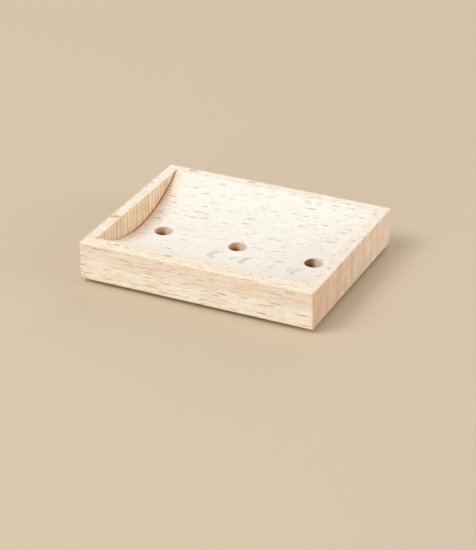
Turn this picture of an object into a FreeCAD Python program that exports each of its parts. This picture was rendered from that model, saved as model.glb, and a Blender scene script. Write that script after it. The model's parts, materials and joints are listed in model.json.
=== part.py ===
"""Soap dish milled from one block of beech, standing on four stick-on feet.

Lengths are in millimetres. The origin is the middle of the surface that the dish
stands on, +X runs along the grain, -Y is the front and +Z is up.
"""
import FreeCAD, Part
import math
import os

from FreeCAD import Vector

# Block of beech
dish_length = 125.0
dish_width = 100.0
dish_height = 20.0
edge_round = 0.8

# Milled hollow: a round trough along the grain, closed by a flat wall at each end
front_rim = 7.5
back_rim = 6.0
end_rim = 6.0
floor_thickness = 6.4
mouth_round = 0.5

# Kerf that the cutter leaves along the foot of each end wall
kerf_width = 0.5
kerf_depth = 0.5

# Drain holes in a row just behind the hollow's lowest line
drain_count = 3
drain_diameter = 9.5
drain_left_margin = 14.0
drain_right_margin = 15.8
drain_row_offset = 1.15
drain_deburr = 0.2

# Stick-on feet: low tapered bumpers, each on a disc of adhesive
foot_top_diameter = 10.0
foot_base_diameter = 8.8
foot_height = 2.0
foot_edge_round = 0.8
foot_inset = 14.0
adhesive_thickness = 0.2
adhesive_margin = 0.3

# Sizes that follow from the ones above
underside_z = foot_height + adhesive_thickness
top_z = underside_z + dish_height
hollow_length = dish_length - 2 * end_rim
hollow_span = dish_width - front_rim - back_rim
hollow_depth = dish_height - floor_thickness
hollow_radius = (hollow_span ** 2 / 4 + hollow_depth ** 2) / (2 * hollow_depth)
hollow_y = (front_rim - back_rim) / 2
hollow_axis_z = underside_z + floor_thickness + hollow_radius
hollow_end_x = hollow_length / 2
drain_y = hollow_y + drain_row_offset
drain_first_x = drain_left_margin - hollow_end_x
drain_last_x = hollow_end_x - drain_right_margin
drain_pitch = (drain_last_x - drain_first_x) / max(drain_count - 1, 1)
foot_x = dish_length / 2 - foot_inset
foot_y = dish_width / 2 - foot_inset

ALONG_GRAIN = Vector(1, 0, 0)
UPWARD = Vector(0, 0, 1)
CORNERS = {
    "front_left": (-foot_x, -foot_y),
    "front_right": (foot_x, -foot_y),
    "back_left": (-foot_x, foot_y),
    "back_right": (foot_x, foot_y),
}


def make_block():
    """The sawn block, with every edge eased by sanding."""
    corner = Vector(-dish_length / 2, -dish_width / 2, underside_z)
    block = Part.makeBox(dish_length, dish_width, dish_height, corner)
    return block.makeFillet(edge_round, block.Edges)


def trough_cut(radius, start_x, length):
    """A round bar along the grain that takes the wood away down to its radius."""
    start = Vector(start_x, hollow_y, hollow_axis_z)
    return Part.makeCylinder(radius, length, start, ALONG_GRAIN)


def mouth_edges(shape):
    """The straight edges of the top face that lie inside its outline: the hollow's mouth."""
    top_faces = [face for face in shape.Faces if math.isclose(face.BoundBox.ZMin, top_z)]
    inner_wires = [wire for face in top_faces for wire in face.Wires if not wire.isSame(face.OuterWire)]
    return [edge for wire in inner_wires for edge in wire.Edges]


def cut_kerfs(shape):
    """A kerf at each end of the trough, where the cutter ran a little deeper."""
    kerf_radius = hollow_radius + kerf_depth
    starts = (-hollow_end_x, hollow_end_x - kerf_width)
    return shape.cut([trough_cut(kerf_radius, start_x, kerf_width) for start_x in starts])


def make_drain_drill(x):
    """The drill of one drain hole, with the two cones that break its sharp edges."""
    radius = drain_diameter / 2
    below = Vector(x, drain_y, underside_z)
    above = Vector(x, drain_y, underside_z + floor_thickness - drain_deburr)
    drill = Part.makeCylinder(radius, dish_height, below, UPWARD)
    lower_cone = Part.makeCone(radius + drain_deburr, radius, drain_deburr, below, UPWARD)
    upper_cone = Part.makeCone(radius, 2 * radius, radius, above, UPWARD)
    return drill.fuse([lower_cone, upper_cone])


def make_dish_body():
    """The block with its hollow milled, its drain holes drilled and its sharp edges eased."""
    hollowed = make_block().cut(trough_cut(hollow_radius, -hollow_end_x, hollow_length))
    eased = hollowed.makeFillet(mouth_round, mouth_edges(hollowed))
    drain_places = [drain_first_x + number * drain_pitch for number in range(drain_count)]
    return cut_kerfs(eased).cut([make_drain_drill(x) for x in drain_places])


def make_foot(x, y):
    """A tapered bumper with a flat contact face and a rounded lower edge."""
    base_radius = foot_base_diameter / 2
    top_radius = foot_top_diameter / 2
    cone = Part.makeCone(base_radius, top_radius, foot_height, Vector(x, y, 0), UPWARD)
    lower_edges = [edge for edge in cone.Edges if edge.BoundBox.ZMax < foot_height / 2]
    return cone.makeFillet(foot_edge_round, lower_edges)


def make_adhesive(x, y):
    """The disc of adhesive that holds a foot to the underside."""
    radius = foot_top_diameter / 2 - adhesive_margin
    return Part.makeCylinder(radius, adhesive_thickness, Vector(x, y, foot_height), UPWARD)


def main():
    nodes = {"dish_body": make_dish_body()}
    for corner, (x, y) in CORNERS.items():
        nodes[f"foot_{corner}"] = make_foot(x, y)
        nodes[f"adhesive_{corner}"] = make_adhesive(x, y)
    os.makedirs("parts", exist_ok=True)
    for name, shape in nodes.items():
        shape.exportStep(f"parts/{name}.step")
        print(f"{name}: {len(shape.Solids)} solid, {shape.Volume:.1f} mm3, valid {shape.isValid()}")


main()
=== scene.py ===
# %% [markdown]
# # A soap dish milled from one block of beech
#
# The dish is a block of pale beech with a round trough milled along the grain, three drain holes and
# four stick-on feet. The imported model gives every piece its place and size. This lesson adds what the
# eye looks for: softly sanded edges, a smooth hollow, and wood whose rays and rings run through the
# block as they did through the tree.

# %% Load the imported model
import json
import math

import bmesh
import bpy
import numpy as np
from mathutils import Euler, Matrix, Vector


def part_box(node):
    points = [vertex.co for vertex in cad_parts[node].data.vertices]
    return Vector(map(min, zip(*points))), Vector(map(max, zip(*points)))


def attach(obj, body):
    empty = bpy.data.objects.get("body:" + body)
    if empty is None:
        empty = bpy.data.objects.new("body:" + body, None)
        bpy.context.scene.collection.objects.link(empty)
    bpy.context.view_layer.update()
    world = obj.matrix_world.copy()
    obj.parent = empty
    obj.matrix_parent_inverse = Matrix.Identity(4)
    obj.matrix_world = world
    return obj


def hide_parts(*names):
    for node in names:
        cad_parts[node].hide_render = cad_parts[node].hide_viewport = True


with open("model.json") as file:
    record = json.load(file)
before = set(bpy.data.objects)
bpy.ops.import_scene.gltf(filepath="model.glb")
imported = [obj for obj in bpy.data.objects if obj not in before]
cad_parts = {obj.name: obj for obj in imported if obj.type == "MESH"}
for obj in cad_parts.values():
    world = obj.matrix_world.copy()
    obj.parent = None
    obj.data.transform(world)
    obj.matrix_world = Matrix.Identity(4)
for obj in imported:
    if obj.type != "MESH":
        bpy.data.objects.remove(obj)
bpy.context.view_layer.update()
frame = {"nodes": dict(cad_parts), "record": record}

print("nodes:", sorted(frame["nodes"]))

# %% [markdown]
# ## The sizes of the hollow
#
# A maker first planes and saws the block, then runs a cutter along the grain to mill the trough, and
# drills the holes last. The block's size comes from the frame, and the drain holes stand where the
# record's openings are. The sizes that a maker would set on the machine are written here in millimetres.

# %% Sizes
MM = 0.001

EDGE_ROUND = 0.8 * MM
FRONT_RIM = 7.5 * MM
BACK_RIM = 6.0 * MM
END_RIM = 6.0 * MM
FLOOR_THICKNESS = 6.4 * MM
MOUTH_SOFTNESS = 0.14 * MM
WALL_TOP_ROUND = 0.5 * MM
KERF_WIDTH = 0.5 * MM
KERF_DEPTH = 0.5 * MM
DRAIN_RADIUS = 4.75 * MM
DRAIN_EDGE = 0.2 * MM

block_low, block_high = (np.array(corner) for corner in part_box("dish_body"))
underside_z = block_low[2]
top_z = block_high[2]
hollow_end_x = block_high[0] - END_RIM
mouth_front_y = block_low[1] + FRONT_RIM
mouth_back_y = block_high[1] - BACK_RIM
hollow_y = (mouth_front_y + mouth_back_y) / 2
hollow_depth = top_z - underside_z - FLOOR_THICKNESS
half_span = (mouth_back_y - mouth_front_y) / 2
hollow_radius = (half_span ** 2 + hollow_depth ** 2) / (2 * hollow_depth)
hollow_axis_z = top_z - hollow_depth + hollow_radius

openings = frame["record"]["physics"]["openings"]
drain_boxes = [np.array(opening["box_m"]) for opening in openings if opening["name"].startswith("drain")]
drain_centres = [box.mean(axis=0)[:2] for box in drain_boxes]
drain_y = drain_centres[0][1]
print(f"trough radius {hollow_radius / MM:.1f} mm, depth {hollow_depth / MM:.2f} mm")
print("drain holes at", [np.round(centre / MM, 2).tolist() for centre in drain_centres], "mm")

# %% [markdown]
# ## The shape of the hollow
#
# Across the grain the hollow is an arc of a circle. Where it meets the flat rim, sandpaper has taken the
# corner off. A fillet could do that, but a soft minimum of the two heights gives the same round with one
# formula that works on whole arrays.

# %% Height of the hollow
def soft_min(first, second, softness):
    """The lower of two heights with a rounded corner: -s log(exp(-first/s) + exp(-second/s))."""
    return -softness * np.logaddexp(-first / softness, -second / softness)


def hollow_height(y, deeper=0.0):
    """Height of the wood at y: the arc axis - sqrt(R^2 - (y - yc)^2), cut off softly by the top face.

    A cutter that runs deeper has a larger radius R about the same axis.
    """
    arc = hollow_axis_z - np.sqrt((hollow_radius + deeper) ** 2 - (y - hollow_y) ** 2)
    return soft_min(arc, top_z, MOUTH_SOFTNESS)


print(f"lowest point {hollow_height(np.array(hollow_y)) / MM:.2f} mm above the floor")

# %% [markdown]
# ## The block as one skin
#
# The whole block is a closed outline across the grain, carried along the grain from end to end. Each
# station along X has the same number of points, so one grid covers it all. An upright wall, such as the
# end wall of the hollow, is two stations at the same X whose top points differ in height. Points that
# fall together are merged afterwards. First come the places across and along the grain, close together
# where the wood bends sharply.

# %% Samples along and across the grain
GRID_STEP = 1.0 * MM
FINE_STEP = 0.2 * MM
FINE_REACH = 1.2 * MM
TILE_HALF = 8.0 * MM


def samples(stops, steps):
    """Points that pass through every stop, evenly spaced at about the given step between each pair."""
    runs = []
    for start, end, step in zip(stops[:-1], stops[1:], steps):
        count = max(round((end - start) / step), 1)
        runs.append(np.linspace(start, end, count, endpoint=False))
    return np.append(np.concatenate(runs), stops[-1])


core_low = block_low + EDGE_ROUND
core_high = block_high - EDGE_ROUND
across_stops = [
    core_low[1],
    mouth_front_y - FINE_REACH,
    mouth_front_y + FINE_REACH,
    drain_y - TILE_HALF,
    drain_y + TILE_HALF,
    mouth_back_y - FINE_REACH,
    mouth_back_y + FINE_REACH,
    core_high[1],
]
across_steps = [GRID_STEP, FINE_STEP, GRID_STEP, GRID_STEP, GRID_STEP, FINE_STEP, GRID_STEP]
top_y = samples(across_stops, across_steps)
side_z = samples([core_low[2], core_high[2]], [GRID_STEP])[::-1]
tile_stops = [x + side * TILE_HALF for x, _ in drain_centres for side in (-1, 1)]
trough_stops = [-hollow_end_x + KERF_WIDTH, *tile_stops, hollow_end_x - KERF_WIDTH]
trough_x = samples(trough_stops, [GRID_STEP] * (len(trough_stops) - 1))
print(len(top_y), "points across the top,", len(trough_x), "stations along the trough")

# %% [markdown]
# ### The outline across the grain
#
# Seen from its end, the block is a rectangle whose corners sandpaper has rounded. That could be drawn as a
# curve. Here a smaller core is pushed outwards by the round instead, so the same points also give the
# smaller outlines where the ends of the block round off.

# %% Outline across the grain
ROUND_STEPS = 6


def outline():
    """Core points and outward angles of the outline: a rectangle pushed out by a round of any radius.

    The outline runs over the top to the back, down, along the underside to the front and up again.
    A point of the skin is core + radius * (cos angle, sin angle).
    """
    turn = np.linspace(0, math.pi / 2, ROUND_STEPS + 1)[1:-1]
    corner = np.ones_like(turn)
    flat = np.ones_like(top_y)
    side = np.ones_like(side_z)
    core_y = [top_y, core_high[1] * corner, core_high[1] * side, core_high[1] * corner,
              top_y[::-1], core_low[1] * corner, core_low[1] * side, core_low[1] * corner]
    core_z = [core_high[2] * flat, core_high[2] * corner, side_z, core_low[2] * corner,
              core_low[2] * flat, core_low[2] * corner, side_z[::-1], core_high[2] * corner]
    quarter = math.pi / 2
    angle = [quarter * flat, quarter - turn, 0 * side, -turn,
             -quarter * flat, -quarter - turn, -2 * quarter * side, 2 * quarter - turn]
    return (np.concatenate(part) for part in (core_y, core_z, angle))


outline_y, outline_z, outline_angle = outline()
print(len(outline_y), "points round the block")

# %% [markdown]
# ### The stations along the grain
#
# From the left, the outline grows over the rounded end, crosses the rim, dips over the eased edge of the
# end wall, drops down the wall into the kerf and comes up to the trough. The right end is the same list
# turned round, as one set-up of the machine cuts both ends.

# %% Stations along the grain
WALL_ROWS = 9
KERF_LIP = 0.03 * MM
# The painted dark shade is full up to the first height above the foot of the wall, and gone at the second
DARK_SHADE_RISE = 0.2 * MM
DARK_SHADE_FADE = 0.45 * MM


def left_end():
    """Stations from the left end face to the trough: their X, the round's radius, and the top heights.

    The end round is a quarter circle. The wall's top edge drops by a quarter circle too, but never
    further than the wall is deep. The wall goes down to the kerf, where the cutter ran deeper. Rows just
    above and below the foot of the wall keep the painted dark shade there crisp.
    """
    turn = np.linspace(0, math.pi / 2, ROUND_STEPS + 1)
    hollow = hollow_height(top_y)
    kerf = hollow_height(top_y, KERF_DEPTH)
    flat = np.full_like(top_y, top_z)
    depth = flat - hollow

    round_x = block_low[0] + EDGE_ROUND * (1 - np.sin(turn[::-1]))
    round_out = EDGE_ROUND * np.cos(turn[::-1])
    round_top = core_high[2] + round_out[:, None] * np.ones_like(top_y)

    rim_x = samples([round_x[-1], -hollow_end_x - WALL_TOP_ROUND], [GRID_STEP])[1:]
    rim_top = np.tile(flat, (len(rim_x), 1))

    eased_x = -hollow_end_x - WALL_TOP_ROUND * (1 - np.sin(turn[1:]))
    drop = WALL_TOP_ROUND * (1 - np.cos(turn[1:]))
    eased_top = flat - np.minimum(drop[:, None], depth)

    share = np.linspace(0, 1, WALL_ROWS)[1:, None]
    above_dark_shade = np.minimum(hollow + DARK_SHADE_FADE, eased_top[-1])
    dark_shade_top = np.minimum(hollow + DARK_SHADE_RISE, eased_top[-1])
    wall_top = np.concatenate([(1 - share) * eased_top[-1] + share * above_dark_shade, [dark_shade_top, hollow]])
    wall_x = np.full(len(wall_top), -hollow_end_x)

    lip = np.maximum(hollow - KERF_LIP, kerf)
    kerf_x = -hollow_end_x + KERF_WIDTH * np.array([0, 0, 1, 1])
    kerf_top = np.stack([lip, kerf, kerf, lip])

    xs = np.concatenate([round_x, rim_x, eased_x, wall_x, kerf_x])
    tops = np.concatenate([round_top, rim_top, eased_top, wall_top, kerf_top])
    outs = np.full(len(xs), EDGE_ROUND)
    outs[:len(round_out)] = round_out
    return xs, outs, tops


end_x, end_out, end_top = left_end()
station_x = np.concatenate([end_x, trough_x, -end_x[::-1]])
station_out = np.concatenate([end_out, np.full(len(trough_x), EDGE_ROUND), end_out[::-1]])
trough_top = np.tile(hollow_height(top_y), (len(trough_x), 1))
station_top = np.concatenate([end_top, trough_top, end_top[::-1]])
print(len(station_x), "stations along the block")

# %% [markdown]
# ### The grid of the block
#
# Stations and outline together make one table of points, and four neighbours in the table are one face.
# So all the faces are numbered at once, and none is made by hand.

# %% The grid of the block
def block_grid():
    """Points of the block, stations by outline: core + out * (cos, sin), with the top heights put in."""
    xs = np.broadcast_to(station_x[:, None], (len(station_x), len(outline_y)))
    ys = outline_y + station_out[:, None] * np.cos(outline_angle)
    zs = outline_z + station_out[:, None] * np.sin(outline_angle)
    zs[:, :len(top_y)] = station_top
    return np.stack([xs, ys, zs], axis=-1)


def grid_quads(rows, columns, closed=False):
    """Corner numbers of the quads of a grid of points, row by row, wrapped round if it is closed."""
    number = np.arange(rows * columns).reshape(rows, columns)
    if closed:
        number = np.concatenate([number, number[:, :1]], axis=1)
    return np.stack([number[:-1, :-1], number[1:, :-1], number[1:, 1:], number[:-1, 1:]], axis=-1)


block_points = block_grid()
block_quads = grid_quads(len(station_x), len(outline_y), closed=True)
print("block grid", block_points.shape[:2], "points")

# %% [markdown]
# ## The drain holes
#
# Each hole replaces a square tile of the hollow and the same tile of the underside. Rings of points lead
# from the edge of the tile to the hole's circle, over its softened edge, down the wall and out again
# below. The rings have as many points as the tile's edge, so nothing is left open. A Boolean would cut
# the hole in one step, but it leaves long thin faces that shade badly on a curved surface.

# %% A drain hole
RING_ROWS = 9
RING_SPREAD = 0.8
TUBE_ROWS = 7


def tile_edge(centre):
    """The tile's grid lines and the points of its edge, anticlockwise from its front left corner."""
    inside_x = np.flatnonzero(np.abs(trough_x - centre[0]) < TILE_HALF + FINE_STEP / 2)
    inside_y = np.flatnonzero(np.abs(top_y - drain_y) < TILE_HALF + FINE_STEP / 2)
    xs = trough_x[inside_x]
    ys = top_y[inside_y]
    edge_x = np.concatenate([xs[:-1], xs[-1] + 0 * ys[:-1], xs[:0:-1], xs[0] + 0 * ys[:-1]])
    edge_y = np.concatenate([ys[0] + 0 * xs[:-1], ys[:-1], ys[-1] + 0 * xs[:-1], ys[:0:-1]])
    return len(end_x) + inside_x, inside_y, edge_x, edge_y


def drain_grid(centre, edge_x, edge_y):
    """Rings of one drain hole: square tile to circle, quarter-round edge, tube, edge and tile again.

    A ring between the tile and the circle is (1 - s) tile + s circle, with s from 0 to 1. The edge is
    a quarter circle, radius = r + e (1 - sin a) and height = surface - e (1 - cos a).
    """
    angle = np.arctan2(edge_y - centre[1], edge_x - centre[0])
    share = np.linspace(0, 1, RING_ROWS)[:, None] ** RING_SPREAD
    mouth = DRAIN_RADIUS + DRAIN_EDGE
    sheet_x = (1 - share) * edge_x + share * (centre[0] + mouth * np.cos(angle))
    sheet_y = (1 - share) * edge_y + share * (centre[1] + mouth * np.sin(angle))

    turn = np.linspace(0, math.pi / 2, ROUND_STEPS)[1:, None]
    edge_radius = DRAIN_RADIUS + DRAIN_EDGE * (1 - np.sin(turn))
    edge_drop = DRAIN_EDGE * (1 - np.cos(turn))
    upper_z = hollow_height(sheet_y[-1])
    tube_share = np.linspace(0, 1, TUBE_ROWS)[1:-1, None]
    tube_z = (1 - tube_share) * (upper_z - DRAIN_EDGE) + tube_share * (underside_z + DRAIN_EDGE)

    radius = np.concatenate([edge_radius, np.full((TUBE_ROWS - 2, 1), DRAIN_RADIUS), edge_radius[::-1]])
    wall_x = centre[0] + radius * np.cos(angle)
    wall_y = centre[1] + radius * np.sin(angle)
    wall_z = np.concatenate([upper_z - edge_drop, tube_z, underside_z + edge_drop[::-1] + 0 * angle])

    xs = np.concatenate([sheet_x, wall_x, sheet_x[::-1]])
    ys = np.concatenate([sheet_y, wall_y, sheet_y[::-1]])
    zs = np.concatenate([hollow_height(sheet_y), wall_z, np.full_like(sheet_x, underside_z)])
    return np.stack([xs, ys, zs], axis=-1)


first_edge = tile_edge(drain_centres[0])[2:]
print("rings and points of a drain hole:", drain_grid(drain_centres[0], *first_edge).shape[:2])

# %% [markdown]
# ### All the grids together
#
# The block, three drain holes and two flat end faces make up the skin. The block's faces inside a hole's
# tile are left out. A grid that was laid out the other way round has its corners reversed, so that every
# face looks outwards.

# %% All grids of the dish
def end_face(x):
    """The flat end face at x, a grid of the outline's own Y and Z samples."""
    ys, zs = np.meshgrid(top_y, side_z, indexing="ij")
    return np.stack([np.full_like(ys, x), ys, zs], axis=-1)


def dish_grids():
    """Every grid of the dish as (points, quads numbered within the grid)."""
    keep = np.ones(block_quads.shape[:2], bool)
    below = len(outline_y) // 2
    drains = []
    for centre in drain_centres:
        inside_x, inside_y, edge_x, edge_y = tile_edge(centre)
        under_y = below + len(top_y) - 1 - inside_y
        keep[inside_x[0]:inside_x[-1], inside_y[0]:inside_y[-1]] = False
        keep[inside_x[0]:inside_x[-1], under_y[-1]:under_y[0]] = False
        points = drain_grid(centre, edge_x, edge_y)
        drains.append((points, grid_quads(*points.shape[:2], closed=True)[..., ::-1]))
    left = end_face(block_low[0])
    right = end_face(block_high[0])
    face_quads = grid_quads(*left.shape[:2])
    ends = [(left, face_quads), (right, face_quads[..., ::-1])]
    return [(block_points, block_quads[keep]), *drains, *ends]


grids = dish_grids()
print(len(grids), "grids,", sum(quads.size // 4 for _, quads in grids), "quads")

# %% [markdown]
# ## Milled wood, painted shade and pale edges
#
# A cutter mills the trough below the top face. Shade is painted on as well: warm along the foot of the
# left end wall, more towards the back, and dark in the kerf there, and in each hole warm, most on its
# left side, and dark on that side towards the bottom. The right end face has a warm tint along its front
# corner, and sanded edges are paler, partly burnished and partly a painted highlight. The colour could be
# painted by hand. Here four numbers are stored at each point of the mesh instead, and the material reads
# them by name: how far a point was milled below the top face, its painted warm shade and tint, its
# painted dark shade, and how pale its edge is.

# %% Milled depth, painted shade and pale edges
MILLED_DEPTH = 0.4 * MM
# Painted warm shade along the foot of the left end wall: its strength, its least share, and its reach
WALL_WARM_SHADE = 0.9
WALL_SHADE_LEAST = 0.2
WALL_SHADE_REACH = 2.4 * MM
# From front to back: where the wall's painted warm shade is least and where it is full
WALL_SHADE_Y = np.array([-28.0, 0.0]) * MM
# At the foot and at the top of the front right corner
CORNER_WARMTH = np.array([0.15, 0.45])
CORNER_REACH = 1.4 * MM
# From front to back: where the kerf's painted dark shade sets in and where it is full
KERF_SHADE_Y = np.array([-26.0, 26.0]) * MM
# Painted dark shade at the top of each bore, and the heights above the underside between which it
# falls to that
BORE_SHADE_TOPS = (0.14, 0.1, 0.66)
BORE_SHADE_HEIGHTS = np.array([2.0, 4.6]) * MM
# How far left of a bore's middle, in radii, its painted shade sets in and is full, and the warm shade at
# both
BORE_SIDES = np.array([0.15, 0.6])
BORE_WARM_SHADE = np.array([0.2, 0.85])
# Points closer than this count as one
SKIN = 0.002 * MM


def cut_and_shade_marks(points):
    """Milled depth, painted shade and pale edges at each point, as four numbers from 0 to 1.

    Milled grows as the skin goes down below the top face.
    The warm number is strength * exp(-distance / reach). In the hollow it is painted shade: the distance is
    from the left end wall, and the strength grows from front to back. On the right end face it is a warm
    tint: the distance is from the front corner, and the strength grows to the top. The dark number is
    painted shade that grows from front to back in the left kerf. In a bore both are painted shade that grows
    to the left, and the dark one also grows downwards, from the hole's own value at the top. The edge number
    is 2 * past_z * max(past_x, past_y), where past is how far a point lies outside the core as a share of
    the round: 1 in the middle of a sanded round and 0 on the flats. It pales the wood there, partly as
    burnished wood and partly as a painted highlight. At the hollow's mouth it is 4 * milled * (1 - milled).
    """
    x, y, z = points.T
    surface = hollow_height(y)
    to_wall = hollow_end_x - np.abs(x)
    over_hollow = (to_wall > -SKIN) & (np.abs(y - hollow_y) < half_span + EDGE_ROUND)
    on_hollow = over_hollow & (z > surface - KERF_DEPTH - SKIN)
    on_wall = (to_wall < SKIN) & (z > surface + SKIN)
    milled = (on_hollow & ~on_wall) * np.clip((top_z - z) / MILLED_DEPTH, 0, 1)

    # Painted warm shade along the foot of the left end wall, stronger towards the back
    below_wall = (x < 0) & (z < surface + SKIN)
    wall_warm_shade = WALL_WARM_SHADE * np.interp(y, WALL_SHADE_Y, (WALL_SHADE_LEAST, 1))
    warm_tint_and_shade = below_wall * milled * wall_warm_shade * np.exp(-to_wall.clip(0) / WALL_SHADE_REACH)
    # A warm tint on the right end face along its front corner, stronger towards the top
    to_corner = (y - core_low[1]).clip(0)
    corner = np.interp(z, (underside_z, top_z), CORNER_WARMTH) * np.exp(-to_corner / CORNER_REACH)
    warm_tint_and_shade = np.where(x > core_high[0] + SKIN, corner, warm_tint_and_shade)

    # Painted dark shade in the left kerf, stronger towards the back
    in_kerf = on_hollow & (x < 0) & (to_wall < KERF_WIDTH + SKIN) & (z < surface - SKIN)
    in_kerf |= on_hollow & (x < 0) & (to_wall < SKIN) & (z < surface + DARK_SHADE_RISE + SKIN)
    burnt = in_kerf * np.interp(y, KERF_SHADE_Y, (0, 1))
    # In each bore, painted shade: warm all round and most on the left, dark on the left towards the bottom
    for centre, dark_shade_top in zip(drain_centres, BORE_SHADE_TOPS):
        bored = np.hypot(x - centre[0], y - centre[1]) < DRAIN_RADIUS + SKIN
        deep = np.interp(z - underside_z, BORE_SHADE_HEIGHTS, (1, dark_shade_top))
        shaded_side = np.interp((centre[0] - x) / DRAIN_RADIUS, BORE_SIDES, (0, 1))
        burnt = np.where(bored, deep * shaded_side, burnt)
        warm_tint_and_shade = np.where(bored, np.interp(shaded_side, (0, 1), BORE_WARM_SHADE), warm_tint_and_shade)
        milled = np.where(bored, 1, milled)

    # Paler wood along sanded edges and the hollow's mouth: partly burnished, partly a painted highlight
    past = np.maximum(points - core_high, core_low - points) / EDGE_ROUND
    past_x, past_y, past_z = past.clip(0, 1).T
    edge_burnish_and_highlight = 2 * past_z * np.maximum(past_x, past_y)
    mouth = 4 * milled * (1 - milled)
    return {
        "milled": milled,
        "warm_tint_and_shade": warm_tint_and_shade,
        "burnt": burnt,
        "edge_burnish_and_highlight": np.maximum(edge_burnish_and_highlight, mouth).clip(0, 1),
    }


block_marks = cut_and_shade_marks(block_points.reshape(-1, 3))
print("points marked:", {mark: int((values > 0).sum()) for mark, values in block_marks.items()})

# %% [markdown]
# ## Putting the skin together
#
# All the grids go into one mesh, points that fall together are merged, and edges sharper than a sanded
# round are marked, so that the shading stays crisp along the kerf and smooth over the trough. Counting
# edges without two faces shows whether the skin is closed, and a positive volume that it faces outwards.

# %% The dish
SHARP_ANGLE = math.radians(40)


def build_mesh(name):
    """One mesh of all grids: points are stacked, quads renumbered, doubles merged, sharp edges marked."""
    firsts = np.cumsum([0] + [points[..., 0].size for points, _ in grids])
    points = np.concatenate([points.reshape(-1, 3) for points, _ in grids])
    quads = np.concatenate([quads.reshape(-1, 4) + first for (_, quads), first in zip(grids, firsts)])
    mesh = bpy.data.meshes.new(name)
    mesh.from_pydata(points, [], quads)
    for mark, values in cut_and_shade_marks(points).items():
        mesh.attributes.new(mark, "FLOAT", "POINT").data.foreach_set("value", values)
    shell = bmesh.new()
    shell.from_mesh(mesh)
    bmesh.ops.remove_doubles(shell, verts=shell.verts, dist=SKIN)
    bmesh.ops.dissolve_degenerate(shell, edges=shell.edges, dist=SKIN)
    shell.to_mesh(mesh)
    open_edges = sum(not edge.is_manifold for edge in shell.edges)
    volume = shell.calc_volume(signed=True) / MM ** 3
    print(f"{name}: {len(shell.faces)} faces, {open_edges} open edges, {volume:.0f} mm3")
    shell.free()
    mesh.shade_smooth()
    mesh.set_sharp_from_angle(angle=SHARP_ANGLE)
    return mesh


dish = bpy.data.objects.new("beech_dish", build_mesh("beech_dish"))
bpy.context.scene.collection.objects.link(dish)
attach(dish, "root")
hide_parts("dish_body")

# %% [markdown]
# ## Colours and nodes
#
# Colours are written as sRGB hex values, as a colour picker shows them, and turned to the linear values
# that the renderer works with. A shader can be drawn by hand in the node editor. In a script, one helper
# adds a node, sets it up, and hands back the output that the next node takes.

# %% Helpers for materials
A_COLOUR = 6
B_COLOUR = 7
COLOURS = {"data_type": "RGBA"}
STAIN = {"data_type": "RGBA", "blend_type": "MULTIPLY"}
SMOOTH = {"interpolation_type": "SMOOTHSTEP"}


def linear(hex_colour):
    """An sRGB hex value as linear RGBA: c / 12.92 when dark, ((c + 0.055) / 1.055) ^ 2.4 otherwise."""
    srgb = np.array([int(hex_colour[start:start + 2], 16) for start in (1, 3, 5)]) / 255
    rgb = np.where(srgb <= 0.04045, srgb / 12.92, ((srgb + 0.055) / 1.055) ** 2.4)
    return (*rgb.tolist(), 1.0)


def add_node(tree, kind, inputs=None, output=None, **settings):
    """Adds a node, sets its properties, sets or links its inputs, and returns the named or first output."""
    node = tree.nodes.new(kind)
    for name, value in settings.items():
        setattr(node, name, value)
    for key, value in (inputs or {}).items():
        if isinstance(value, bpy.types.NodeSocket):
            tree.links.new(value, node.inputs[key])
        else:
            node.inputs[key].default_value = value
    if output is not None:
        return node.outputs[output]
    return next(socket for socket in node.outputs if socket.enabled)


print("mid grey in linear light:", round(linear("#808080")[0], 3))

# %% [markdown]
# ## Beech: the axes of the wood
#
# Beech shows its rays: flat sheets of cells that run from the heart of the tree to the bark. Where a
# surface cuts them across, they are short dark dashes. Where it lies along them, they open to pale flecks.
# A picture of wood would need the right dash on each face, so the rays are drawn in the block instead, as
# lens-shaped rods that the surfaces cut. First, Object coordinates are turned to the wood's own axes in
# millimetres: along the grain, across the rays, and along the rays. A slow noise bends them a little.

# %% Axes of the wood
RAY_TILT = math.radians(10)
GRAIN_RISE = math.radians(2.2)
WAVE_LENGTH = 22.0
WAVE_DETAIL = 1.0
WAVE_SHIFT = (1.0, 1.6, 3.0)
NOISE_MEAN = (0.5, 0.5, 0.5)
TO_MM = (1 / MM, 1 / MM, 1 / MM)

# Beech, planed, milled and sanded but not varnished: pale, matt and full of short dashes
beech = bpy.data.materials.new("sanded_beech")
beech.use_nodes = True
tree = beech.node_tree
shader = tree.nodes["Principled BSDF"]

wood_turn = Euler((RAY_TILT - math.pi / 2, 0, -GRAIN_RISE))
place = add_node(tree, "ShaderNodeTexCoord", output="Object")
facing = place.node.outputs["Normal"]
turned = add_node(tree, "ShaderNodeMapping", {"Vector": place, "Rotation": wood_turn, "Scale": TO_MM})
wave = add_node(tree, "ShaderNodeTexNoise", {
    "Vector": turned, "Scale": 1 / WAVE_LENGTH, "Detail": WAVE_DETAIL,
}, output="Color")
bend = add_node(tree, "ShaderNodeVectorMath", {0: wave, 1: NOISE_MEAN}, operation="SUBTRACT")
wood = add_node(tree, "ShaderNodeVectorMath", {0: bend, 1: WAVE_SHIFT, 2: turned}, operation="MULTIPLY_ADD")
upright = add_node(tree, "ShaderNodeVectorMath", {0: place, 1: TO_MM}, operation="MULTIPLY")
print("rays fall by", round(math.degrees(RAY_TILT), 1), "degrees towards the back")

# %% [markdown]
# ## Beech: scattered rays
#
# A Voronoi texture gives each cell one random point, a good way to scatter things without a list. A ray is
# an ellipse round that point, long with the grain and thin across it. The cell's random colour decides
# how large and how dark it is, so no two look alike. Broad rays stand far apart and fine ones close
# together. The flat rims meet the rays so slantwise that even thin ones show, as flecks, and the front
# slope of the trough is full of small ticks. Both have sets of their own, laid out as seen from above.

# %% Scattered rays
RAY_LEAST_SIZE = 0.5
RAY_SIZE_RANGE = 0.9
RAY_CORE = 0.3


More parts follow.
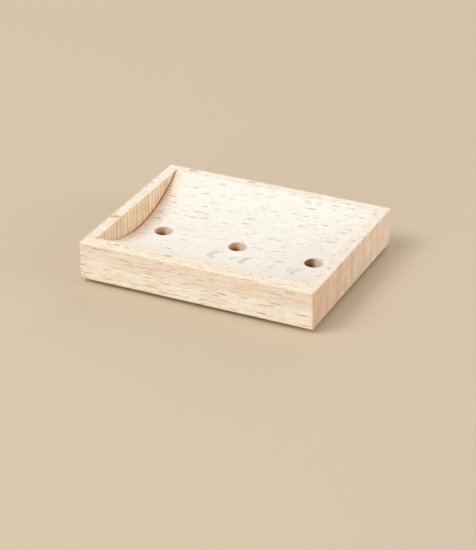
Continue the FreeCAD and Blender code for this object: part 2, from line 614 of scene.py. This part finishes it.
def add_rays(base, cell, half_size, faint, offset):
    """Rays scattered one to a cell: rods of elliptical section, each with its own size and strength.

    Cell and half size are in millimetres, along the grain and across it, and offset is in cells. The
    distance from the cell's point, divided by the half sizes, is 1 on the rod's outline. The strength
    runs from faint to 1, and a ray below 0 darkens nothing.
    """
    scaled = add_node(tree, "ShaderNodeMapping", {
        "Vector": base, "Location": (*offset, 0), "Scale": (1 / cell[0], 1 / cell[1], 0),
    })
    point = add_node(tree, "ShaderNodeTexVoronoi", {"Vector": scaled, "Scale": 1.0},
                     output="Position", voronoi_dimensions="2D")
    away = add_node(tree, "ShaderNodeVectorMath", {0: scaled, 1: point}, operation="SUBTRACT")
    stretch = (cell[0] / half_size[0], cell[1] / half_size[1], 0)
    stretched = add_node(tree, "ShaderNodeVectorMath", {0: away, 1: stretch}, operation="MULTIPLY")
    length = add_node(tree, "ShaderNodeVectorMath", {0: stretched}, output="Value", operation="LENGTH")
    draw = add_node(tree, "ShaderNodeSeparateColor", {0: point.node.outputs["Color"]})
    size = add_node(tree, "ShaderNodeMath", {0: draw, 1: RAY_SIZE_RANGE, 2: RAY_LEAST_SIZE},
                    operation="MULTIPLY_ADD")
    inside = add_node(tree, "ShaderNodeMath", {0: length, 1: size}, operation="DIVIDE")
    core = add_node(tree, "ShaderNodeMapRange", {0: inside, 1: 1.0, 2: RAY_CORE}, **SMOOTH)
    strength = add_node(tree, "ShaderNodeMapRange", {0: draw.node.outputs[1], 3: faint, 4: 1.0})
    return add_node(tree, "ShaderNodeMath", {0: core, 1: strength}, operation="MULTIPLY")


broad_rays = add_rays(wood, cell=(7.4, 1.7), half_size=(3.8, 0.2), faint=-0.1, offset=(0.0, 0.0))
fine_rays = add_rays(wood, cell=(3.4, 0.7), half_size=(1.8, 0.1), faint=-0.1, offset=(3.7, 1.3))
rim_rays = add_rays(upright, cell=(3.2, 1.9), half_size=(1.5, 0.5), faint=-0.5, offset=(1.9, 5.3))
ticks = add_rays(upright, cell=(2.3, 1.6), half_size=(1.0, 0.45), faint=-0.2, offset=(0.7, 0.4))
print("four sets of rays,", len(tree.nodes), "nodes so far")

# %% [markdown]
# ## Beech: the rays of the trough
#
# Near the front of its floor the round trough lies along the rays and would draw them out without end. So
# its rays are measured along the arc instead, which keeps them one size. A point that stands h above the
# line where the arc lies along the rays is about sqrt(2 R h) away from it on an arc of radius R.

# %% Rays of the trough
# Near that line the root changes too fast with h, so the square of this width is added to slow it
GRAZE_WIDTH = 19.0

graze_y = hollow_y - hollow_radius * math.sin(RAY_TILT)
graze_z = hollow_axis_z - hollow_radius * math.cos(RAY_TILT)
graze_height = (wood_turn.to_matrix() @ Vector((0, graze_y, graze_z))).y / MM
wood_axes = add_node(tree, "ShaderNodeSeparateXYZ", {0: wood})
above_graze = add_node(tree, "ShaderNodeMath", {0: wood_axes.node.outputs["Y"], 1: graze_height},
                       operation="SUBTRACT")
squared = add_node(tree, "ShaderNodeMath", {
    0: above_graze, 1: 2 * hollow_radius / MM, 2: GRAZE_WIDTH ** 2,
}, operation="MULTIPLY_ADD")
along_arc = add_node(tree, "ShaderNodeMath", {0: squared}, operation="SQRT")
arc_place = add_node(tree, "ShaderNodeCombineXYZ", {"X": wood_axes, "Y": along_arc})
arc_broad = add_rays(arc_place, cell=(5.8, 3.6), half_size=(2.9, 0.27), faint=-0.3, offset=(2.6, 0.0))
arc_fine = add_rays(arc_place, cell=(3.2, 1.7), half_size=(1.5, 0.16), faint=-0.2, offset=(1.3, 2.9))
print("two more sets of rays; the trough lies along them at y", round(graze_y / MM, 1), "mm")

# %% [markdown]
# ## Beech: the rays that the cutter grazed
#
# A ray that the trough only grazes shows as a long crescent, the mark by which people know beech. The
# photograph shows a few such rays, in the slope and on the rims, and they are listed: where each
# starts on the surface, its half length and half thickness, and how strongly it shows.

# %% Grazed rays
# Start x, half length and half thickness in millimetres, and strength
GRAZED_RAYS = [
    (-10.2, 4.2, 0.13, 0.65),
    (7.0, 2.8, 0.17, 0.75),
    (2.2, 1.5, 0.06, 0.6),
    (35.0, 2.2, 0.09, 0.7),
    (23.0, 1.6, 0.07, 0.5),
]
# Start x and y, half length and half thickness in millimetres, and strength
RIM_RAYS = [
    (-50.5, 47.0, 3.4, 0.3, 0.9),
    (-17.0, 47.0, 3.6, 0.3, 0.8),
    (-62.4, -18.5, 4.0, 0.4, 1.0),
    (-46.0, -45.6, 2.4, 0.2, 1.0),
    (-39.5, -46.2, 1.8, 0.16, 0.9),
    (-18.0, -45.6, 3.0, 0.2, 1.0),
    (53.0, -8.0, 3.4, 0.22, 0.8),
    (58.4, -24.3, 1.5, 0.2, 0.9),
    (56.8, -34.8, 1.2, 0.2, 0.6),
    (57.2, -16.0, 1.0, 0.2, 0.6),
    (59.0, -2.0, 0.9, 0.3, 0.6),
    (58.2, 6.8, 1.4, 0.25, 0.7),
    (58.5, 28.0, 1.2, 0.2, 0.5),
]
# The middle of a ray lies this share of its half length beyond the start
RAY_START_SHARE = 0.75


def add_ray(x, y, z, half_length, half_thickness, strength):
    """One ray: an ellipse about a point of the wood, its strength in the core and 0 on its outline."""
    start = wood_turn.to_matrix() @ Vector((x, y, z))
    centre = (start.x + RAY_START_SHARE * half_length, start.y, 0)
    away = add_node(tree, "ShaderNodeVectorMath", {0: turned, 1: centre}, operation="SUBTRACT")
    stretch = (1 / half_length, 1 / half_thickness, 0)
    stretched = add_node(tree, "ShaderNodeVectorMath", {0: away, 1: stretch}, operation="MULTIPLY")
    length = add_node(tree, "ShaderNodeVectorMath", {0: stretched}, output="Value", operation="LENGTH")
    return add_node(tree, "ShaderNodeMapRange", {0: length, 1: 1.0, 2: RAY_CORE, 4: strength}, **SMOOTH)


placed = [(x, graze_y / MM, graze_z / MM, *ray) for x, *ray in GRAZED_RAYS]
placed += [(x, y, top_z / MM, *ray) for x, y, *ray in RIM_RAYS]
grazed = add_ray(*placed[0])
for ray in placed[1:]:
    grazed = add_node(tree, "ShaderNodeMath", {0: grazed, 1: add_ray(*ray)}, operation="MAXIMUM")
print(len(placed), "rays placed by hand")

# %% [markdown]
# ## Beech: how each face cuts the wood
#
# The end faces cut the fibres across and drink in the light, so they are darker and show the rings as
# upright lines. The front and back lie along the rings, which open to broad bands. The direction that a
# face looks in tells which of these it is, so one material serves the whole block. The same direction
# tells how slantwise a face meets the rays: square on they are dark and sharp, along them pale and faint.

# %% Faces
END_FACING = (0.55, 0.85)
SIDE_FACING = (0.62, 0.9)
FADE_FACING = (0.93, 0.985)
FADED_ON_RIM = 0.22
FADED_IN_HOLLOW = 0.75
END_RAY = 0.08

end_on = add_node(tree, "ShaderNodeSeparateXYZ", {0: facing})
end_share = add_node(tree, "ShaderNodeMath", {0: end_on}, operation="ABSOLUTE")
side_share = add_node(tree, "ShaderNodeMath", {0: end_on.node.outputs["Y"]}, operation="ABSOLUTE")
milled = add_node(tree, "ShaderNodeAttribute", output="Fac", attribute_name="milled")
not_milled = add_node(tree, "ShaderNodeMath", {0: 1.0, 1: milled}, operation="SUBTRACT")
end_grain = add_node(tree, "ShaderNodeMapRange", {
    0: end_share, 1: END_FACING[0], 2: END_FACING[1], 4: not_milled,
}, **SMOOTH)
side_grain = add_node(tree, "ShaderNodeMapRange", {
    0: side_share, 1: SIDE_FACING[0], 2: SIDE_FACING[1], 4: not_milled,
}, **SMOOTH)
long_grain = add_node(tree, "ShaderNodeMath", {0: 1.0, 1: end_grain}, operation="SUBTRACT")

ray_side = (0.0, math.sin(RAY_TILT), math.cos(RAY_TILT))
along = add_node(tree, "ShaderNodeVectorMath", {0: facing, 1: ray_side},
                 output="Value", operation="DOT_PRODUCT")
along_rays = add_node(tree, "ShaderNodeMath", {0: along}, operation="ABSOLUTE")
faintest = add_node(tree, "ShaderNodeMapRange", {0: milled, 3: FADED_ON_RIM, 4: FADED_IN_HOLLOW})
grazing = add_node(tree, "ShaderNodeMapRange", {0: along_rays, 1: FADE_FACING[0], 2: FADE_FACING[1]})
faded = add_node(tree, "ShaderNodeMix", {0: grazing, 2: 1.0, 3: faintest})
ray_depth = add_node(tree, "ShaderNodeMix", {0: end_grain, 2: faded, 3: END_RAY})
print("end grain, side grain and grazing faces are told apart by their direction")

# %% [markdown]
# ## Beech: rings and fibres
#
# Noise that is stretched along an axis turns into streaks. Stretched upwards and along the grain it gives
# the fine upright lines of the end grain, and broader ones tint and blotch it. A year's growth starts pale
# and ends in a dark line of late wood, so the years are a saw-tooth across the block, which wanders a
# little. Along the sides the rings lie flat, as long thin streaks, and a fine noise gives the fibres.

# %% Rings and fibres
# Spacings in millimetres: along, across and up for the first four, along the wood's own axes for bands
# and fibres. Real lines and fibres are finer than a pixel, so these are drawn coarse enough to show.
LINES = {"spacing": (260.0, 1.0, 40.0), "detail": 2.0}
TINTS = {"spacing": (260.0, 5.0, 90.0), "detail": 1.0}
BLOTCHES = {"spacing": (260.0, 7.0, 5.0), "detail": 3.0}
WANDER = {"spacing": (260.0, 7.0, 60.0), "detail": 1.0}
BANDS = {"spacing": (22.0, 0.9, 40.0), "detail": 3.0}
FIBRES = {"spacing": (9.0, 0.45, 0.45), "detail": 3.0}
YEAR_WIDTH = 3.4
YEAR_WANDER = 2.4


def add_grain(base, spacing, detail):
    """Noise stretched by a spacing in millimetres along each axis: noise(place / spacing)."""
    scale = tuple(1 / size for size in spacing)
    stretched = add_node(tree, "ShaderNodeVectorMath", {0: base, 1: scale}, operation="MULTIPLY")
    return add_node(tree, "ShaderNodeTexNoise", {"Vector": stretched, "Scale": 1.0, "Detail": detail})


waved = add_node(tree, "ShaderNodeVectorMath", {0: bend, 1: WAVE_SHIFT, 2: upright},
                 operation="MULTIPLY_ADD")
waved_x = add_node(tree, "ShaderNodeSeparateXYZ", {0: waved})
waved_y = waved_x.node.outputs["Y"]
waved_z = waved_x.node.outputs["Z"]
lines = add_grain(waved, **LINES)
tints = add_grain(waved, **TINTS)
blotches = add_grain(waved, **BLOTCHES)
bands = add_grain(wood, **BANDS)
fibres = add_grain(wood, **FIBRES)
wander = add_node(tree, "ShaderNodeMath", {0: add_grain(waved, **WANDER), 1: YEAR_WANDER},
                  operation="MULTIPLY")
years = add_node(tree, "ShaderNodeMath", {0: waved_y, 1: 1 / YEAR_WIDTH, 2: wander},
                 operation="MULTIPLY_ADD")
late_wood = add_node(tree, "ShaderNodeMath", {0: years}, operation="FRACT")
print("years", YEAR_WIDTH, "mm wide, end grain lines", LINES["spacing"][1], "mm")

# %% [markdown]
# ## Beech: the colour of each face
#
# Sanded beech without varnish is pale and warm. Each face has its own colour: the hollow is almost white,
# which is painted light where the light falls on its upward faces, the rims are cream and paler at the
# back, the sides are pink above and yellow below, where they pass from one ring to the next, and the end
# grain is tan, both on the outer ends and on the end walls of the hollow. The outer ends are darker
# towards the front, which is painted shade.

# %% Colour of the faces
# Almost white: painted light where the light falls on the upward faces of the hollow
HOLLOW = linear("#FDF9F0")
FRONT_RIM_CREAM = linear("#FDEED8")
BACK_RIM_CREAM = linear("#FEF6E6")
SIDE_PINK = linear("#FBEEDE")
SIDE_YELLOW = linear("#FFFAEB")
# The outer ends are darker at the front than at the back: painted shade
END_FRONT_TAN = linear("#ECD2B8")
END_BACK_TAN = linear("#FDEFDB")
WALL_TAN = linear("#F9E4C6")
# Millimetres above the underside between which the sides turn from yellow to pink
PINK_HEIGHT = (7.0, 13.5)
# Millimetres from the middle between which the end walls give way to the outer ends
OUTER_END_FROM = (58.0, 61.0)

from_middle = add_node(tree, "ShaderNodeMath", {0: waved_x}, operation="ABSOLUTE")
outer_end = add_node(tree, "ShaderNodeMapRange", {
    0: from_middle, 1: OUTER_END_FROM[0], 2: OUTER_END_FROM[1],
})
to_back = add_node(tree, "ShaderNodeMapRange", {
    0: waved_y, 1: block_low[1] / MM, 2: block_high[1] / MM,
})
pink_share = add_node(tree, "ShaderNodeMapRange", {
    0: waved_z, 1: underside_z / MM + PINK_HEIGHT[0], 2: underside_z / MM + PINK_HEIGHT[1],
}, **SMOOTH)
rim_colour = add_node(tree, "ShaderNodeMix", {
    0: to_back, A_COLOUR: FRONT_RIM_CREAM, B_COLOUR: BACK_RIM_CREAM,
}, **COLOURS)
top_colour = add_node(tree, "ShaderNodeMix", {0: milled, A_COLOUR: rim_colour, B_COLOUR: HOLLOW}, **COLOURS)
side_colour = add_node(tree, "ShaderNodeMix", {
    0: pink_share, A_COLOUR: SIDE_YELLOW, B_COLOUR: SIDE_PINK,
}, **COLOURS)
# The outer ends turn darker towards the front: painted shade
sawn_colour = add_node(tree, "ShaderNodeMix", {
    0: to_back, A_COLOUR: END_FRONT_TAN, B_COLOUR: END_BACK_TAN,
}, **COLOURS)
end_colour = add_node(tree, "ShaderNodeMix", {
    0: outer_end, A_COLOUR: WALL_TAN, B_COLOUR: sawn_colour,
}, **COLOURS)
long_colour = add_node(tree, "ShaderNodeMix", {
    0: side_grain, A_COLOUR: top_colour, B_COLOUR: side_colour,
}, **COLOURS)
face_colour = add_node(tree, "ShaderNodeMix", {
    0: end_grain, A_COLOUR: long_colour, B_COLOUR: end_colour,
}, **COLOURS)
print("sides turn pink between", PINK_HEIGHT, "mm above the underside")

# %% [markdown]
# ## Beech: stained by rings and bands
#
# Rings, bands and blotches multiply the colour of a face, as a stain does, so wood that is tan stays tan.
# Each shows mostly on the faces that cut it. The outer ends are sanded smooth, which leaves only a little
# of the late wood that stands out on the end walls.

# %% Stains
SMOOTHED_LINES = 0.25

lines_left = add_node(tree, "ShaderNodeMapRange", {0: outer_end, 3: 1.0, 4: SMOOTHED_LINES})
wall_grain = add_node(tree, "ShaderNodeMath", {0: end_grain, 1: lines_left}, operation="MULTIPLY")
# Pattern, the levels where it sets in and is full, its depth off and on its faces, those faces, its tint
STAINS = [
    (tints, (0.4, 0.66), (0.0, 0.2), end_grain, "#F2DDD0"),
    (lines, (0.42, 0.66), (0.05, 0.34), end_grain, "#DDBFA2"),
    (late_wood, (0.66, 0.98), (0.0, 0.65), wall_grain, "#C49C7A"),
    (blotches, (0.35, 0.68), (0.0, 0.5), end_grain, "#F0E2D4"),
    (bands, (0.36, 0.66), (0.05, 0.6), side_grain, "#F2DFC9"),
]

stained = face_colour
for pattern, levels, depths, faces, tint in STAINS:
    streak = add_node(tree, "ShaderNodeMapRange", {0: pattern, 1: levels[0], 2: levels[1]}, **SMOOTH)
    depth = add_node(tree, "ShaderNodeMapRange", {0: faces, 3: depths[0], 4: depths[1]})
    share = add_node(tree, "ShaderNodeMath", {0: streak, 1: depth}, operation="MULTIPLY")
    stained = add_node(tree, "ShaderNodeMix", {0: share, A_COLOUR: stained, B_COLOUR: linear(tint)}, **STAIN)
print(len(STAINS), "stains")

# %% [markdown]
# ## Beech: dashes and flecks
#
# The rays stain the wood too. They are brown dashes on the sides, softer ones in the hollow, tan flecks on
# the rims and small ticks on the front slope, which is a little warmer towards the mouth. The rays that
# were placed by hand come last.

# %% Dashes and flecks
CROSS_RAY = linear("#9A6A34")
ARC_RAY = linear("#BA9C7A")
RIM_FLECK = linear("#D8BE92")
TICK = linear("#F6DCB4")
FLAT_RAY = linear("#DEC696")
FINE_SHARE = 0.55
ARC_FINE_SHARE = 0.65
RIM_SHARE = 0.92
TICK_SHARE = 0.6
# The slope's own warmth, and the places from front to back, in millimetres, between which it fades out
SLOPE_SHARE = 0.16
SLOPE_Y = (-30.0, -19.0)

dashed = stained
dash_shares = []
for broad, fine, fine_level, faces, tint in (
    (broad_rays, fine_rays, FINE_SHARE, not_milled, CROSS_RAY),
    (arc_broad, arc_fine, ARC_FINE_SHARE, milled, ARC_RAY),
):
    fainter = add_node(tree, "ShaderNodeMath", {0: fine, 1: fine_level}, operation="MULTIPLY")
    either = add_node(tree, "ShaderNodeMath", {0: broad, 1: fainter}, operation="MAXIMUM", use_clamp=True)
    seen = add_node(tree, "ShaderNodeMath", {0: either, 1: ray_depth}, operation="MULTIPLY")
    share = add_node(tree, "ShaderNodeMath", {0: seen, 1: faces}, operation="MULTIPLY")
    dash_shares.append(share)
    dashed = add_node(tree, "ShaderNodeMix", {0: share, A_COLOUR: dashed, B_COLOUR: tint}, **STAIN)

cut_across = add_node(tree, "ShaderNodeMath", {0: milled, 1: side_grain}, operation="MAXIMUM")
not_rim = add_node(tree, "ShaderNodeMath", {0: cut_across, 1: end_grain}, operation="MAXIMUM")
on_rim = add_node(tree, "ShaderNodeMapRange", {0: not_rim, 3: RIM_SHARE, 4: 0.0})
rim_share = add_node(tree, "ShaderNodeMath", {0: rim_rays, 1: on_rim}, operation="MULTIPLY", use_clamp=True)
rim_flecked = add_node(tree, "ShaderNodeMix", {
    0: rim_share, A_COLOUR: dashed, B_COLOUR: RIM_FLECK,
}, **STAIN)

on_slope = add_node(tree, "ShaderNodeMapRange", {
    0: waved_y, 1: SLOPE_Y[0], 2: SLOPE_Y[1], 3: milled, 4: 0.0,
})
tick_level = add_node(tree, "ShaderNodeMath", {0: ticks, 1: TICK_SHARE, 2: SLOPE_SHARE},
                      operation="MULTIPLY_ADD", use_clamp=True)
tick_share = add_node(tree, "ShaderNodeMath", {0: tick_level, 1: on_slope}, operation="MULTIPLY")
ticked = add_node(tree, "ShaderNodeMix", {0: tick_share, A_COLOUR: rim_flecked, B_COLOUR: TICK}, **STAIN)
flat_share = add_node(tree, "ShaderNodeMath", {0: grazed, 1: long_grain}, operation="MULTIPLY")
flecked = add_node(tree, "ShaderNodeMix", {0: flat_share, A_COLOUR: ticked, B_COLOUR: FLAT_RAY}, **STAIN)
print("ticks fade out between y", SLOPE_Y, "mm")

# %% [markdown]
# ## Beech: fibres, pale edges and painted shade
#
# The fibres lighten and darken the wood slightly, and sanded edges are paler, partly as burnished wood and
# partly as a painted highlight. The painted shade and the corner's warm tint come last: the warm share
# stains the wood golden, and the dark share turns it brown.

# %% Fibres, pale edges and painted shade
FIBRE_LEVELS = (0.3, 0.7)
FIBRE_TONES = (0.91, 1.04)
# Paler sanded edges: partly burnished wood, partly a painted highlight
EDGE_BURNISH_AND_HIGHLIGHT = linear("#FFF6E6")
EDGE_HIGHLIGHT_SHARE = 0.45
# Painted warm shade, and the warm tint of the right end's front corner
WARM_TINT_AND_SHADE = linear("#FFC884")
# Painted dark shade, in the left kerf and low on the left of each bore
DARK_SHADE_COLOUR = linear("#702E0E")

fibre_tone = add_node(tree, "ShaderNodeMapRange", {
    0: fibres, 1: FIBRE_LEVELS[0], 2: FIBRE_LEVELS[1], 3: FIBRE_TONES[0], 4: FIBRE_TONES[1],
})
fibred = add_node(tree, "ShaderNodeVectorMath", {0: flecked, 3: fibre_tone}, operation="SCALE")
edge_burnish_and_highlight, warm_tint_and_shade_share, burn = (
    add_node(tree, "ShaderNodeAttribute", output="Fac", attribute_name=mark)
    for mark in ("edge_burnish_and_highlight", "warm_tint_and_shade", "burnt")
)
edge_highlight_share = add_node(tree, "ShaderNodeMath", {0: edge_burnish_and_highlight, 1: EDGE_HIGHLIGHT_SHARE}, operation="MULTIPLY")
edged = add_node(tree, "ShaderNodeMix", {0: edge_highlight_share, A_COLOUR: fibred, B_COLOUR: EDGE_BURNISH_AND_HIGHLIGHT}, **COLOURS)
# The painted shade comes last: first the warm share, then the dark share
warm_tint_and_shade = add_node(tree, "ShaderNodeMix", {0: warm_tint_and_shade_share, A_COLOUR: edged, B_COLOUR: WARM_TINT_AND_SHADE}, **STAIN)
with_painted_shade = add_node(tree, "ShaderNodeMix", {0: burn, A_COLOUR: warm_tint_and_shade, B_COLOUR: DARK_SHADE_COLOUR}, **COLOURS)
tree.links.new(with_painted_shade, shader.inputs["Base Color"])
print("fibres change the tone from", FIBRE_TONES[0], "to", FIBRE_TONES[1])

# %% [markdown]
# ## Beech: the surface
#
# Bare sanded wood scatters light and has only a faint sheen, a little more on the rays, which are smooth.
# The fibres stand up by a few hundredths of a millimetre.

# %% Surface of the beech
BARE_ROUGHNESS = 0.64
RAY_ROUGHNESS = 0.5
FIBRE_HEIGHT = 0.04 * MM
FIBRE_STRENGTH = 0.5
WOOD_IOR = 1.5

shader.inputs["IOR"].default_value = WOOD_IOR
dash_share = add_node(tree, "ShaderNodeMath", {0: dash_shares[0], 1: dash_shares[1]}, operation="MAXIMUM")
ray_share = add_node(tree, "ShaderNodeMath", {0: dash_share, 1: flat_share}, operation="MAXIMUM")
roughness = add_node(tree, "ShaderNodeMapRange", {0: ray_share, 3: BARE_ROUGHNESS, 4: RAY_ROUGHNESS})
tree.links.new(roughness, shader.inputs["Roughness"])
relief = add_node(tree, "ShaderNodeBump", {
    "Strength": FIBRE_STRENGTH, "Distance": FIBRE_HEIGHT, "Height": fibres,
})
tree.links.new(relief, shader.inputs["Normal"])
dish.data.materials.append(beech)
print("beech has", len(tree.nodes), "nodes")

# %% [markdown]
# ## Silicone feet and their adhesive
#
# The feet are small bumpers moulded from translucent silicone: milky, smooth to the touch, with a soft
# sheen and the faint orange-peel of the mould. Light enters a little, which subsurface scattering gives.
# Each sits on a disc of adhesive foam, matt and cream with fine cells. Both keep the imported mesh, whose
# shape is already right, and only get a material.

# %% Feet and adhesive
CELL_DETAIL = 2.0
CELL_STRENGTH = 0.6
LIGHT_DEPTH = 1.0 * MM


def foot_finish(name, tones, roughness, cell_size, cell_height, subsurface):
    """A finish whose tone, sheen and relief all follow one noise with cells of the given size."""
    material = bpy.data.materials.new(name)
    material.use_nodes = True
    nodes = material.node_tree
    surface = nodes.nodes["Principled BSDF"]
    where = add_node(nodes, "ShaderNodeTexCoord", output="Object")
    cells = add_node(nodes, "ShaderNodeTexNoise", {
        "Vector": where, "Scale": 1 / cell_size, "Detail": CELL_DETAIL,
    })
    tone = add_node(nodes, "ShaderNodeMix", {
        0: cells, A_COLOUR: linear(tones[0]), B_COLOUR: linear(tones[1]),
    }, **COLOURS)
    gloss = add_node(nodes, "ShaderNodeMapRange", {0: cells, 3: roughness[0], 4: roughness[1]})
    bump = add_node(nodes, "ShaderNodeBump", {
        "Strength": CELL_STRENGTH, "Distance": cell_height, "Height": cells,
    })
    nodes.links.new(tone, surface.inputs["Base Color"])
    nodes.links.new(gloss, surface.inputs["Roughness"])
    nodes.links.new(bump, surface.inputs["Normal"])
    surface.inputs["Subsurface Weight"].default_value = subsurface
    surface.inputs["Subsurface Scale"].default_value = LIGHT_DEPTH
    return material


# Silicone from a smooth mould: milky, with a soft sheen and light inside its rim
silicone = foot_finish(
    "moulded_silicone", tones=("#E6E4DC", "#DAD8D0"), roughness=(0.34, 0.5),
    cell_size=0.35 * MM, cell_height=0.01 * MM, subsurface=0.35,
)
# Foam with glue on both faces: cream and matt, with fine cells in its edge
adhesive = foot_finish(
    "adhesive_foam", tones=("#EDE6D3", "#DED5BF"), roughness=(0.7, 0.85),
    cell_size=0.18 * MM, cell_height=0.03 * MM, subsurface=0.0,
)
for kind, finish in (("foot_", silicone), ("adhesive_", adhesive)):
    pieces = [node for name, node in frame["nodes"].items() if name.startswith(kind)]
    for piece in pieces:
        piece.material_slots[0].material = finish
    print(len(pieces), "pieces of", finish.name)

# %% [markdown]
# ## Camera
#
# The camera stands where the photograph was taken from. Its place was worked out from the block's corners
# in the picture, which also gives the focal length in pixels. A longer lens from further away flattens the
# block, so both have to be right together.

# %% Camera
AZIMUTH = math.radians(25.05)
ELEVATION = math.radians(28.04)
CAMERA_DISTANCE = 988.35 * MM
AIM = Vector((1.67 * MM, -3.13 * MM, underside_z - 6.65 * MM))
SENSOR_SIDE = 36.0
FOCAL_PIXELS = 1963.8
LONG_SIDE_PIXELS = 550

back = Vector((
    math.sin(AZIMUTH) * math.cos(ELEVATION),
    -math.cos(AZIMUTH) * math.cos(ELEVATION),
    math.sin(ELEVATION),
))
camera_data = bpy.data.cameras.new("camera")
camera_data.sensor_width = SENSOR_SIDE
camera_data.lens = SENSOR_SIDE * FOCAL_PIXELS / LONG_SIDE_PIXELS
camera = bpy.data.objects.new("camera", camera_data)
camera.location = AIM + back * CAMERA_DISTANCE
camera.rotation_mode = "QUATERNION"
camera.rotation_quaternion = (-back).to_track_quat("-Z", "Y")
bpy.context.scene.collection.objects.link(camera)
bpy.context.scene.camera = camera
print(f"lens {camera_data.lens:.1f} mm, camera at", [round(value, 4) for value in camera.location])

# %% [markdown]
# ## Floor
#
# The dish stands on a plain pale floor, which takes its shadow and throws warm light back up at its
# sides.

# %% Floor
FLOOR_HALF = 4.0
FLOOR_COLOUR = linear("#D6C5AA")
FLOOR_ROUGHNESS = 0.9

floor_mesh = bpy.data.meshes.new("floor")
floor_corners = [(-FLOOR_HALF, -FLOOR_HALF, 0), (FLOOR_HALF, -FLOOR_HALF, 0),
                 (FLOOR_HALF, FLOOR_HALF, 0), (-FLOOR_HALF, FLOOR_HALF, 0)]
floor_mesh.from_pydata(floor_corners, [], [(0, 1, 2, 3)])
floor = bpy.data.objects.new("floor", floor_mesh)
bpy.context.scene.collection.objects.link(floor)
# Uncoated paper: matt, so the dish isn't mirrored in it
floor_material = bpy.data.materials.new("floor_paper")
floor_material.use_nodes = True
floor_shader = floor_material.node_tree.nodes["Principled BSDF"]
floor_shader.inputs["Base Color"].default_value = FLOOR_COLOUR
floor_shader.inputs["Roughness"].default_value = FLOOR_ROUGHNESS
floor_mesh.materials.append(floor_material)
print("floor", 2 * FLOOR_HALF, "m square")

# %% [markdown]
# ## Light from all round
#
# The world adds an even glow to the dish. What the camera sees behind it, and what a glossy or clear
# surface shows of it, has a level of its own, so the background can be pale while the glow stays low.

# %% World
WORLD_LIGHT = 0.44
BACKDROP_LIGHT = 0.8
SKY_COLOUR = linear("#FFFDFA")

world = bpy.data.worlds.new("studio")
bpy.context.scene.world = world
world.use_nodes = True
sky = world.node_tree.nodes["Background"]
sky.inputs["Color"].default_value = SKY_COLOUR
light_path = add_node(world.node_tree, "ShaderNodeLightPath", output="Is Camera Ray")
sees_sky = light_path
for kind in ("Is Glossy Ray", "Is Transmission Ray"):
    sees_sky = add_node(world.node_tree, "ShaderNodeMath", {0: sees_sky, 1: light_path.node.outputs[kind]},
                        operation="MAXIMUM")
sky_level = add_node(world.node_tree, "ShaderNodeMapRange", {0: sees_sky, 3: WORLD_LIGHT, 4: BACKDROP_LIGHT})
world.node_tree.links.new(sky_level, sky.inputs["Strength"])
print("world light", WORLD_LIGHT, "and backdrop", BACKDROP_LIGHT)

# %% [markdown]
# ## Lamps
#
# Soft daylight from a window on the left, and three pale cards that fill the shade in front, on the right
# and behind. Large lamps give the soft edge of the shadow. They are hidden from the camera. Their level is
# plain: a colour renders about as it is written.

# %% Lamps
LAMP_DISTANCE = 2.5
# Azimuth from +X and elevation in degrees, side in metres, watts
LAMPS = {
    "window": (230, 50, 1.33, 32.2),
    "front_card": (270, 10, 1.67, 13.8),
    "right_card": (10, 12, 1.67, 23.2),
    "back_card": (90, 25, 1.67, 13.0),
}


def add_lamp(name, azimuth, elevation, side, watts):
    """A square soft box that faces the dish, at an azimuth a from +X and an elevation e in degrees.

    Its place is distance * (cos e cos a, cos e sin a, sin e).
    """
    lamp_data = bpy.data.lights.new(name, "AREA")
    lamp_data.shape = "SQUARE"
    lamp_data.size = side
    lamp_data.energy = watts
    lamp = bpy.data.objects.new(name, lamp_data)
    level = math.cos(math.radians(elevation))
    lamp.location = LAMP_DISTANCE * Vector((
        level * math.cos(math.radians(azimuth)),
        level * math.sin(math.radians(azimuth)),
        math.sin(math.radians(elevation)),
    ))
    lamp.rotation_mode = "QUATERNION"
    lamp.rotation_quaternion = (-lamp.location).to_track_quat("-Z", "Y")
    lamp.visible_camera = False
    bpy.context.scene.collection.objects.link(lamp)
    print(f"{name}: {watts} W from {azimuth} degrees, {elevation} up")


for name, lamp in LAMPS.items():
    add_lamp(name, *lamp)
bpy.context.scene.view_settings.view_transform = "Standard"
